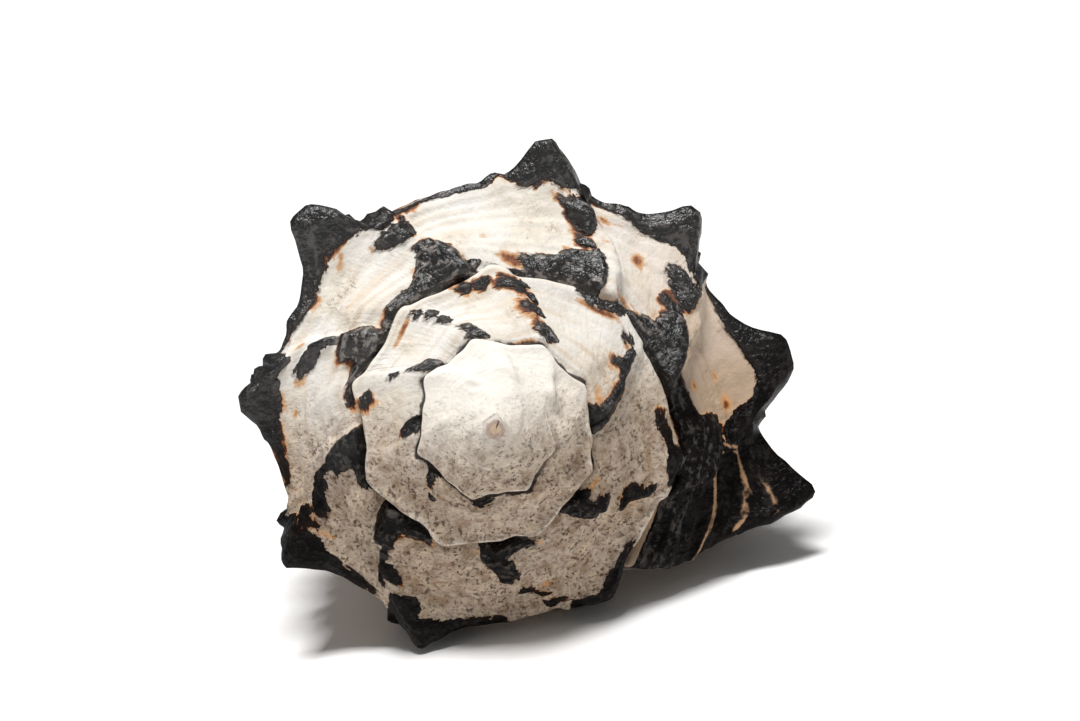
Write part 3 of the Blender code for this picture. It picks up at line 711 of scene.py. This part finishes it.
def make_shell():
    cols = place_columns(RAMP_COLUMNS, WALL_COLUMNS, SIDE_COLUMNS)
    foot, tip = cols["foot"], cols["tip"]
    rows = int(round(ROWS_PER_TURN * RESOLVED_TURNS))
    lap = int(round(ROWS_PER_TURN * OVERLAP))
    s = np.arange(rows + 1) / ROWS_PER_TURN
    outer = outer_surface(s, cols)
    # A younger whorl's suture runs on the foot of the older whorl's wall.
    outer[:rows + 1 - lap, 0] = outer[lap:, foot]
    strips = []
    fields = shell_fields(s, cols, slice(0, foot + 1))
    strips.append(grid_strip("whorls", outer[:, :foot + 1], fields))
    fields = shell_fields(s[:lap + 1], cols, slice(foot, tip + 1))
    strips.append(grid_strip("side", outer[:lap + 1, foot:], fields))

    back = hollow_turns(cols)
    roof = hollow_roof(back, cols)
    floor = hollow_floor(back, cols)
    floor[0, foot:] = outer[lap, foot:]
    # The lip is rounded over from the outside to the inside.
    edge = [outer[0]]
    for k in range(1, LIP_ROWS):
        share = k / LIP_ROWS
        bulge = 0.5 * math.sin(math.pi * share)
        ahead = outer[0] - outer[1]
        ahead /= np.maximum(np.linalg.norm(ahead, axis=-1, keepdims=True), 1e-6)
        edge.append(outer[0] * (1 - share) + roof[0] * share + ahead * bulge)
    lining = np.concatenate([np.array(edge), roof])
    inside = np.clip(np.arange(len(lining)) / 6.0, 0, 1)[:, None]
    fields = plain_fields(inside)
    lip_black = np.clip(side_black(np.zeros((1, tip + 1)), cols["b"][None]), -3, 3)
    lip_black = np.where(cols["v"][None] < 1, 1.0, lip_black) - 3.0 * inside
    fields["black"] = lip_black
    strips.append(grid_strip("lining", lining, fields, flip=True))
    inside = np.clip(np.arange(HOLLOW_ROWS + 1) / 2.0, 0, 1)[:, None]
    fields = plain_fields(inside)
    strips.append(grid_strip("pillar", floor[:, foot:], fields))
    seam_strip = np.stack([roof[:, 0], floor[:, foot]], 1)
    strips.append(grid_strip("corner", seam_strip, plain_fields(1.0), flip=True))
    # The hollow's blind end, between the last rows of its roof and its floor.
    below = np.concatenate([np.repeat(floor[-1:, foot], foot, axis=0), floor[-1, foot:]])
    strips.append(grid_strip("blind_end", np.stack([roof[-1], below]), plain_fields(1.0)))
    rings = tip_points(outer, rows, lap, foot)
    fields = plain_fields(0.0)
    fields["turns"] = RESOLVED_TURNS + np.linspace(0, 1.5, TIP_RINGS + 1)[:, None]
    strips.append(grid_strip("tip", rings, fields))
    select_none()
    for strip in strips:
        strip.select_set(True)
    bpy.context.view_layer.objects.active = strips[0]
    bpy.ops.object.join()
    shell = bpy.context.object
    shell.name = "murex_shell"
    shell.data.name = "murex_shell"
    return shell


def tip_points(outer, rows, lap, foot):
    """Rings from the oldest suture up to the worn tip."""
    rim = [outer[i, 0] for i in range(rows - lap, rows + 1)] + [outer[rows, j] for j in range(1, foot + 1)]
    rim = np.array(rim)
    off_slope = rim[:, 2] - blunt_tip(np.hypot(rim[:, 0], rim[:, 1]))
    rings = []
    for k in range(TIP_RINGS + 1):
        left = 1 - k / TIP_RINGS
        ring = rim * left
        ring[:, 2] = blunt_tip(np.hypot(ring[:, 0], ring[:, 1])) + off_slope * left ** 2
        rings.append(ring)
    return np.array(rings)


def blunt_tip(radius):
    """Height of the worn tip over a distance from the axis."""
    return 0.14 + SPIRE_SLOPE * (0.5 - np.hypot(radius, 0.5))


def close_shell(shell):
    """Weld the strips into one skin and close the canal's end and the blind end of the hollow."""
    select_none()
    shell.select_set(True)
    bpy.context.view_layer.objects.active = shell
    bpy.ops.object.mode_set(mode="EDIT")
    bpy.ops.mesh.select_mode(type="VERT")
    bpy.ops.mesh.select_all(action="SELECT")
    bpy.ops.mesh.remove_doubles(threshold=WELD)
    bpy.ops.mesh.select_all(action="DESELECT")
    bpy.ops.mesh.select_non_manifold()
    bpy.ops.mesh.fill_holes(sides=0)
    bpy.ops.mesh.select_all(action="SELECT")
    bpy.ops.mesh.quads_convert_to_tris(quad_method="SHORTEST_DIAGONAL", ngon_method="BEAUTY")
    bpy.ops.mesh.normals_make_consistent(inside=False)
    bpy.ops.object.mode_set(mode="OBJECT")


def at_points(mesh, name):
    """A corner value of the mesh, one for each point."""
    corners = np.empty(len(mesh.loops), np.int32)
    mesh.loops.foreach_get("vertex_index", corners)
    values = np.empty(len(mesh.loops))
    mesh.attributes[name].data.foreach_get("value", values)
    out = np.empty(len(mesh.vertices))
    out[corners] = values
    return out


def roughen(shell):
    """Low lumps and dents over the whole shell, stronger on black growth, then the worn flats it lies on."""
    mesh = shell.data
    count = len(mesh.vertices)
    points = np.empty(count * 3)
    mesh.vertices.foreach_get("co", points)
    points = points.reshape(-1, 3)
    normals = np.empty(count * 3)
    mesh.vertex_normals.foreach_get("vector", normals)
    normals = normals.reshape(-1, 3)
    black, inside, turns = at_points(mesh, "black"), at_points(mesh, "inside"), at_points(mesh, "turns")
    uneven = 0.26 + 0.24 * ease((turns - 1.7) / 0.5) * (turns < RESOLVED_TURNS)
    lift = np.empty(count)
    for i, p in enumerate(points):
        coarse = noise.noise(Vector(p) * (1000 / LUMP))
        fine = noise.noise(Vector(p) * (1000 / DENT))
        strength = ease(black[i] / 1.0 + 0.5)
        lift[i] = uneven[i] * coarse + (0.16 + 0.20 * strength) * fine
    lift *= (1 - inside) * 0.001
    points = points + normals * lift[:, None]
    points[:, 2] = np.maximum(points[:, 2], 0.0)
    low, high = np.array(cad_box[0]), np.array(cad_box[1])
    points = np.clip(points, low, high)
    mesh.vertices.foreach_set("co", points.ravel())
    mesh.update()


# Materials

def linear(code):
    """An sRGB hex colour as linear values."""
    parts = [int(code[k:k + 2], 16) / 255 for k in (1, 3, 5)]
    return [x / 12.92 if x <= 0.04045 else ((x + 0.055) / 1.055) ** 2.4 for x in parts] + [1.0]


def add(tree, kind, inputs=None, output=0, **settings):
    """Add a node, set its properties, set or link its inputs, and give one of its outputs."""
    made = tree.nodes.new(kind)
    for key, value in settings.items():
        setattr(made, key, value)
    for key, value in (inputs or {}).items():
        if isinstance(value, bpy.types.NodeSocket):
            tree.links.new(value, made.inputs[key])
        elif isinstance(value, str):
            made.inputs[key].default_value = linear(value)
        else:
            made.inputs[key].default_value = value
    return made.outputs[output]


# Settings of the nodes that come often: smooth steps, colour mixes (inputs 0, 6 and 7 are share, A and B),
# products, and products with a third input added.
SMOOTH = {"interpolation_type": "SMOOTHSTEP", "output": "Result"}
COLOUR = {"data_type": "RGBA", "output": 2}
TIMES = {"operation": "MULTIPLY"}
TIMES_PLUS = {"operation": "MULTIPLY_ADD"}


def shell_material():
    """Old aragonite shell, thick and chalky, as found on a beach. It is cream with tan spiral bands and
    growth lines, bored with pinholes where it is worn, and the black-brown pigment has burnt fringes and has
    kept its gloss."""
    material = bpy.data.materials.new("worn_murex_shell")
    material.use_nodes = True
    tree = material.node_tree
    tree.nodes.clear()
    place = add(tree, "ShaderNodeTexCoord", output="Object")
    names = ("black", "rear", "seam", "stain", "pale", "turns", "ramp", "side", "inside")
    fields = [add(tree, "ShaderNodeAttribute", attribute_name=name, output="Fac") for name in names]
    black, rear, seam, stain, pale, turns, ramp, side, inside = fields
    height = add(tree, "ShaderNodeSeparateXYZ", {0: place}, output="Z")

    # Noise at 9, 2.6, 0.9 and 0.35 mm.
    noises = []
    for size, detail, rough in ((9, 3.0, 0.5), (2.6, 3.0, 0.6), (0.9, 3.0, 0.6), (0.35, 2.0, 0.5)):
        noises.append(add(tree, "ShaderNodeTexNoise", {"Vector": place, "Scale": 1000 / size,
                                                       "Detail": detail, "Roughness": rough}))
    wide, mid, fine, dust = noises
    # Three noises stretched with the growth. Growth lines are short along the whorl and long across it,
    # flutes and feathered edges are long along it and short across, and soft tan bands are longer still.
    streaks = []
    for scales, detail, rough in (((150.0, 1.6, 1.0), 4.0, 0.6), ((45.0, 18.0, 110.0), 3.0, 0.6),
                                  ((7.0, 9.0, 1.0), 2.0, 0.5)):
        parts = [add(tree, "ShaderNodeMath", {0: part, 1: scale}, **TIMES)
                 for part, scale in zip((turns, ramp, side), scales)]
        course = add(tree, "ShaderNodeCombineXYZ", dict(zip("XYZ", parts)))
        streaks.append(add(tree, "ShaderNodeTexNoise", {"Vector": course, "Scale": 1.0, "Detail": detail,
                                                       "Roughness": rough}))
    lines, flutes, bands = streaks
    kept = add(tree, "ShaderNodeMapRange", {"Value": turns, "From Min": 1.8, "From Max": 2.1, "To Min": 1.0,
                                            "To Max": 0.3}, **SMOOTH)
    lines = add(tree, "ShaderNodeMath", {0: lines, 1: kept}, **TIMES)

    # Cream, yellower in soft clouds, tan in the bands; tan towards the bottom is sand stain and painted
    # shade.
    cream = add(tree, "ShaderNodeMapRange", {"Value": wide, "From Min": 0.38, "From Max": 0.62}, **SMOOTH)
    cream = add(tree, "ShaderNodeMix", {0: cream, 6: "#EBE7E0", 7: "#E5DCCE"}, **COLOUR)
    # Over it: bands, growth lines, clouds; young growth tanner as painted shade; the oldest bleached most.
    layers = ((bands, 0.50, 0.72, 0.4, "#C9AD88"), (lines, 0.52, 0.74, 0.22, "#B9A58E"),
              (mid, 0.52, 0.72, 0.3, "#C4B096"), (turns, 0.30, 0.12, 0.45, "#CFA982"),
              (turns, 1.85, 2.2, 0.85, "#F6F0E6"))
    for over, start, end, most, code in layers:
        share = add(tree, "ShaderNodeMapRange", {"Value": over, "From Min": start, "From Max": end,
                                                 "To Max": most}, **SMOOTH)
        cream = add(tree, "ShaderNodeMix", {0: share, 6: cream, 7: code}, **COLOUR)
    # Darker by height towards the bottom: painted shade of the low side, partly sand stain.
    low = add(tree, "ShaderNodeMapRange", {"Value": height, "From Min": 0.045, "From Max": 0.026}, **SMOOTH)
    share = add(tree, "ShaderNodeMath", {0: low, 1: 0.72}, **TIMES)
    cream = add(tree, "ShaderNodeMix", {0: share, 6: cream, 7: "#A1866C"}, **COLOUR)

    # Worn skin on the low side and old growth: lumps 1.7 mm apart, painted shade in dips, light on tops.
    share = add(tree, "ShaderNodeMapRange", {"Value": turns, "From Min": 0.38, "From Max": 0.55}, **SMOOTH)
    here = add(tree, "ShaderNodeMath", {0: low, 1: share}, **TIMES)
    patch = add(tree, "ShaderNodeMapRange", {"Value": wide, "From Min": 0.55, "From Max": 0.68,
                                             "To Max": 0.5}, **SMOOTH)
    here = add(tree, "ShaderNodeMath", {0: here, 1: patch}, operation="MAXIMUM")
    skin = add(tree, "ShaderNodeTexNoise", {"Vector": place, "Scale": 1000 / 1.7, "Detail": 3.5,
                                            "Roughness": 0.6, "Distortion": 0.25})
    # Painted shade in the lumps' dips and painted light on their tops.
    for start, end, most, code in ((0.54, 0.36, 0.6, "#8A6E52"), (0.52, 0.66, 0.55, "#D2BEA2")):
        share = add(tree, "ShaderNodeMapRange", {"Value": skin, "From Min": start, "From Max": end,
                                                 "To Max": most}, **SMOOTH)
        share = add(tree, "ShaderNodeMath", {0: share, 1: here}, **TIMES)
        cream = add(tree, "ShaderNodeMix", {0: share, 6: cream, 7: code}, **COLOUR)
    # Pinholes bored by sponges, 0.1 to 0.4 mm wide, longer one way; their uneven dark is painted shade.
    longer = add(tree, "ShaderNodeVectorMath", {0: place, 1: (1.0, 0.6, 1.0)}, **TIMES)
    holes = add(tree, "ShaderNodeTexNoise", {"Vector": longer, "Scale": 1000 / 0.50, "Detail": 2.5,
                                             "Roughness": 0.6})
    holes = add(tree, "ShaderNodeMapRange", {"Value": holes, "From Min": 0.54, "From Max": 0.66}, **SMOOTH)
    share = add(tree, "ShaderNodeMapRange", {"Value": mid, "From Min": 0.42, "From Max": 0.62,
                                             "To Min": 0.35}, **SMOOTH)
    holes = add(tree, "ShaderNodeMath", {0: holes, 1: share}, **TIMES)
    holes = add(tree, "ShaderNodeMath", {0: holes, 1: here}, **TIMES)
    # The pinholes' dark brown is painted shade inside them.
    share = add(tree, "ShaderNodeMath", {0: holes, 1: 0.8}, **TIMES)
    cream = add(tree, "ShaderNodeMix", {0: share, 6: cream, 7: "#4A3524"}, **COLOUR)
    # The old whorls' edge over the suture is painted pale: rubbed wear and a painted highlight.
    share = add(tree, "ShaderNodeMapRange", {"Value": turns, "From Min": 0.85, "From Max": 1.0,
                                             "To Max": 0.5}, **SMOOTH)
    rim = add(tree, "ShaderNodeMath", {0: mid, 1: 0.45, 2: ramp}, **TIMES_PLUS)
    rim = add(tree, "ShaderNodeMapRange", {"Value": rim, "From Min": 1.16, "From Max": 1.26}, **SMOOTH)
    rim = add(tree, "ShaderNodeMath", {0: rim, 1: share}, **TIMES)
    cream = add(tree, "ShaderNodeMix", {0: rim, 6: cream, 7: "#F2E9DB"}, **COLOUR)

    # Edge of the black: crisp at a patch's front, feathered and soft at its rear, burnt in places.
    share = add(tree, "ShaderNodeMath", {0: rear, 1: 1.5, 2: 0.6}, **TIMES_PLUS)
    edge = add(tree, "ShaderNodeMath", {0: flutes, 1: 0.5}, operation="SUBTRACT")
    edge = add(tree, "ShaderNodeMath", {0: edge, 1: share, 2: black}, **TIMES_PLUS)
    edge = add(tree, "ShaderNodeMath", {0: mid, 1: 0.8, 2: edge}, **TIMES_PLUS)
    edge = add(tree, "ShaderNodeMath", {0: fine, 1: 0.6, 2: edge}, **TIMES_PLUS)
    edge = add(tree, "ShaderNodeMath", {0: edge, 1: 0.70}, operation="SUBTRACT")
    soft = add(tree, "ShaderNodeMapRange", {"Value": rear, "From Min": 0.35, "From Max": 0.95, "To Min": 0.12,
                                            "To Max": 0.55}, **SMOOTH)
    start = add(tree, "ShaderNodeMath", {0: soft, 1: -1.0}, **TIMES)
    is_black = add(tree, "ShaderNodeMapRange", {"Value": edge, "From Min": start, "From Max": soft}, **SMOOTH)
    width = add(tree, "ShaderNodeMapRange", {"Value": wide, "From Min": 0.48, "From Max": 0.64,
                                             "To Min": 0.03, "To Max": 1.0}, **SMOOTH)
    share = add(tree, "ShaderNodeMath", {0: rear, 1: 1.3, 2: 0.4}, **TIMES_PLUS)
    width = add(tree, "ShaderNodeMath", {0: width, 1: share}, **TIMES)
    share = add(tree, "ShaderNodeMapRange", {"Value": low, "To Min": 1.0, "To Max": 0.3}, output="Result")
    width = add(tree, "ShaderNodeMath", {0: width, 1: share}, **TIMES)
    burn = add(tree, "ShaderNodeMath", {0: edge, 1: width}, operation="DIVIDE")
    spot = add(tree, "ShaderNodeMath", {0: fine, 1: 0.5, 2: stain}, **TIMES_PLUS)
    spot = add(tree, "ShaderNodeMath", {0: mid, 1: 1.1, 2: spot}, **TIMES_PLUS)
    spot = add(tree, "ShaderNodeMapRange", {"Value": spot, "From Min": 1.05, "From Max": 1.80, "To Min": -1.1,
                                            "To Max": -0.28}, interpolation_type="LINEAR", output="Result")
    burn = add(tree, "ShaderNodeMath", {0: burn, 1: spot}, operation="MAXIMUM")
    shown = cream
    for start, end, code in ((-1.0, -0.55, "#CB9868"), (-0.62, -0.32, "#7C4525"), (-0.34, -0.10, "#2A160D")):
        share = add(tree, "ShaderNodeMapRange", {"Value": burn, "From Min": start, "From Max": end}, **SMOOTH)
        shown = add(tree, "ShaderNodeMix", {0: share, 6: shown, 7: code}, **COLOUR)

    # The pigment is black-brown, with pale scratches where it is rubbed and a painted grey sheen.
    share = add(tree, "ShaderNodeMapRange", {"Value": mid, "From Min": 0.45, "From Max": 0.70}, **SMOOTH)
    ink = add(tree, "ShaderNodeMix", {0: share, 6: "#070504", 7: "#16100D"}, **COLOUR)
    scratches_and_sheen = add(tree, "ShaderNodeMath", {0: fine, 1: 0.8, 2: flutes}, **TIMES_PLUS)
    # Most near the suture, least towards the bottom: painted sheen where light catches the upper blocks.
    most = add(tree, "ShaderNodeMapRange", {"Value": ramp, "From Min": 0.55, "From Max": 0.38, "To Min": 0.22,
                                            "To Max": 0.8}, **SMOOTH)
    share = add(tree, "ShaderNodeMapRange", {"Value": low, "From Min": 0.0, "From Max": 0.3, "To Min": 1.0,
                                             "To Max": 0.25}, **SMOOTH)
    most = add(tree, "ShaderNodeMath", {0: most, 1: share}, **TIMES)
    share = add(tree, "ShaderNodeMapRange", {"Value": scratches_and_sheen, "From Min": 0.90, "From Max": 1.08,
                                             "To Max": most}, **SMOOTH)
    ink = add(tree, "ShaderNodeMix", {0: share, 6: ink, 7: "#8E8781"}, **COLOUR)
    shown = add(tree, "ShaderNodeMix", {0: is_black, 6: shown, 7: ink}, **COLOUR)
    # Pale spiral lines on the youngest growth; the thinnest is a painted highlight.
    share = add(tree, "ShaderNodeMath", {0: fine, 1: 0.3, 2: pale}, **TIMES_PLUS)
    share = add(tree, "ShaderNodeMapRange", {"Value": share, "From Min": 0.02, "From Max": 0.22}, **SMOOTH)
    shown = add(tree, "ShaderNodeMix", {0: share, 6: shown, 7: "#B38D6C"}, **COLOUR)

    # Sutures: a thin dark line of painted shade in the crevice, worn away on the oldest whorls.
    painted_suture_shade = add(tree, "ShaderNodeMath", {0: mid, 1: -1.6, 2: seam}, **TIMES_PLUS)
    painted_suture_shade = add(tree, "ShaderNodeMapRange", {"Value": painted_suture_shade, "From Min": -0.10, "From Max": -0.40}, **SMOOTH)
    left = add(tree, "ShaderNodeMapRange", {"Value": turns, "From Min": 1.95, "From Max": 2.2, "To Min": 0.95,
                                            "To Max": 0.0}, **SMOOTH)
    painted_suture_shade = add(tree, "ShaderNodeMath", {0: painted_suture_shade, 1: left}, **TIMES)
    shown = add(tree, "ShaderNodeMix", {0: painted_suture_shade, 6: shown, 7: "#170E0A"}, **COLOUR)
    # Pink-tan first whorls, and a smooth porcelain lining.
    for start, end, code in ((5.6, 5.9, "#B48B7A"), (6.1, 6.4, "#E9CFA6")):
        share = add(tree, "ShaderNodeMapRange", {"Value": turns, "From Min": start, "From Max": end,
                                                 "To Max": 0.6}, **SMOOTH)
        shown = add(tree, "ShaderNodeMix", {0: share, 6: shown, 7: code}, **COLOUR)
    lining = add(tree, "ShaderNodeMix", {0: wide, 6: "#F0E8DC", 7: "#E4D2C4"}, **COLOUR)
    shown = add(tree, "ShaderNodeMix", {0: inside, 6: shown, 7: lining}, **COLOUR)

    # Fine relief in parts of 0.5 mm: growth lines, dust and holes on the cream, and wrinkles on the black.
    lumps = add(tree, "ShaderNodeMath", {0: skin, 1: here}, **TIMES)
    relief = 0.0
    for part, weight in ((fine, 0.35), (lines, 0.35), (dust, 0.10), (holes, -0.6), (lumps, 2.0)):
        relief = add(tree, "ShaderNodeMath", {0: part, 1: weight, 2: relief}, **TIMES_PLUS)
    bare = add(tree, "ShaderNodeMapRange", {"Value": is_black, "To Min": 1.0, "To Max": 0.15},
               interpolation_type="LINEAR", output="Result")
    relief = add(tree, "ShaderNodeMath", {0: relief, 1: bare}, **TIMES)
    wrinkles = lines
    for part, weight in ((flutes, 0.9), (skin, 1.6), (fine, 1.0)):
        wrinkles = add(tree, "ShaderNodeMath", {0: part, 1: weight, 2: wrinkles}, **TIMES_PLUS)
    wrinkles = add(tree, "ShaderNodeMath", {0: wrinkles, 1: is_black}, **TIMES)
    relief = add(tree, "ShaderNodeMath", {0: wrinkles, 1: 0.55, 2: relief}, **TIMES_PLUS)
    outside = add(tree, "ShaderNodeMath", {0: 1.0, 1: inside}, operation="SUBTRACT")
    relief = add(tree, "ShaderNodeMath", {0: relief, 1: outside}, **TIMES)
    normal = add(tree, "ShaderNodeBump", {"Strength": 1.0, "Distance": 0.0005, "Height": relief})

    rough = add(tree, "ShaderNodeMath", {0: is_black, 1: -0.36, 2: 0.74}, **TIMES_PLUS)
    rough = add(tree, "ShaderNodeMath", {0: inside, 1: -0.40, 2: rough}, **TIMES_PLUS)
    # Shine turned down towards the bottom, as painted shade that keeps the low side's black dark.
    gloss = add(tree, "ShaderNodeMapRange", {"Value": low, "To Min": 0.75, "To Max": 0.10}, output="Result")
    shader = add(tree, "ShaderNodeBsdfPrincipled", {"Base Color": shown, "Roughness": rough, "Normal": normal,
                                                   "IOR": 1.5, "Specular IOR Level": gloss})
    last = tree.nodes.new("ShaderNodeOutputMaterial")
    tree.links.new(shader, last.inputs["Surface"])
    return material


def paper_material():
    """Matt white paper sweep: even and without gloss."""
    material = bpy.data.materials.new("white_paper")
    material.use_nodes = True
    shader = material.node_tree.nodes["Principled BSDF"]
    shader.inputs["Base Color"].default_value = linear("#FAF9F8")
    shader.inputs["Roughness"].default_value = 0.9
    return material


# Floor, light and camera

# The camera's direction and distance from the tip of the spire and the point it looks at, in the growth frame
# (mm), its sensor width, and how wide the picture is at a given distance (mm).
EYE_DIRECTION = (-0.053, 0.053, 1)
EYE_DISTANCE = 650
AIM = (6.24, 10.5, 0.0)
SENSOR = 36
VIEW_WIDTH = 1080 * 0.153
VIEW_DISTANCE = 685


def make_floor():
    select_none()
    bpy.ops.mesh.primitive_plane_add(size=6, location=(0, 0, -0.0002))
    floor = bpy.context.object
    floor.name = "floor"
    floor.data.materials.append(paper_material())
    bpy.ops.object.transform_apply(location=True, rotation=True, scale=True)


def to_world_direction(vector):
    return (world_axes() @ Vector(vector)).normalized()


def make_lamp(name, place, target, size, power):
    light = bpy.data.lights.new(name, "AREA")
    light.size = size
    light.energy = power
    lamp = bpy.data.objects.new(name, light)
    lamp.location = place
    lamp.rotation_euler = (Vector(target) - Vector(place)).to_track_quat("-Z", "Y").to_euler()
    bpy.context.scene.collection.objects.link(lamp)


def make_lights():
    middle = Vector((0, -0.01, 0.035))
    up = to_world_direction((0, 1, 0))
    ahead = to_world_direction((0, 0, 1))
    left = to_world_direction((-1, 0, 0))
    make_lamp("key", middle + up * 1.47 + ahead * 0.66 + left * 0.34, middle, 0.45, 31)
    world = bpy.data.worlds.new("pale room")
    bpy.context.scene.world = world
    world.use_nodes = True
    world.node_tree.nodes["Background"].inputs["Color"].default_value = (1, 1, 1, 1)
    world.node_tree.nodes["Background"].inputs["Strength"].default_value = 0.22


def make_camera():
    """Looks at the tip of the spire from a little up and left of the axis, as the photograph does."""
    data = bpy.data.cameras.new("camera")
    camera = bpy.data.objects.new("camera", data)
    bpy.context.scene.collection.objects.link(camera)
    eye = Vector(EYE_DIRECTION).normalized() * EYE_DISTANCE
    centre = Vector(AIM)
    back = (eye - centre).normalized()
    right = Vector((0, 1, 0)).cross(back).normalized()
    up = back.cross(right)
    turn = world_axes() @ Matrix((right, up, back)).transposed()
    camera.matrix_world = Matrix.Translation(Vector(to_world(np.array(eye)))) @ turn.to_4x4()
    data.sensor_width = SENSOR
    data.lens = SENSOR * VIEW_DISTANCE / VIEW_WIDTH
    data.clip_start = 0.01
    data.clip_end = 20
    bpy.context.scene.camera = camera
    bpy.context.scene.view_settings.view_transform = "Standard"


shell = make_shell()
close_shell(shell)
roughen(shell)
shell.data.shade_smooth()
shell.data.materials.append(shell_material())
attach(shell, "root")
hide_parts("shell")
make_floor()
make_lights()
make_camera()
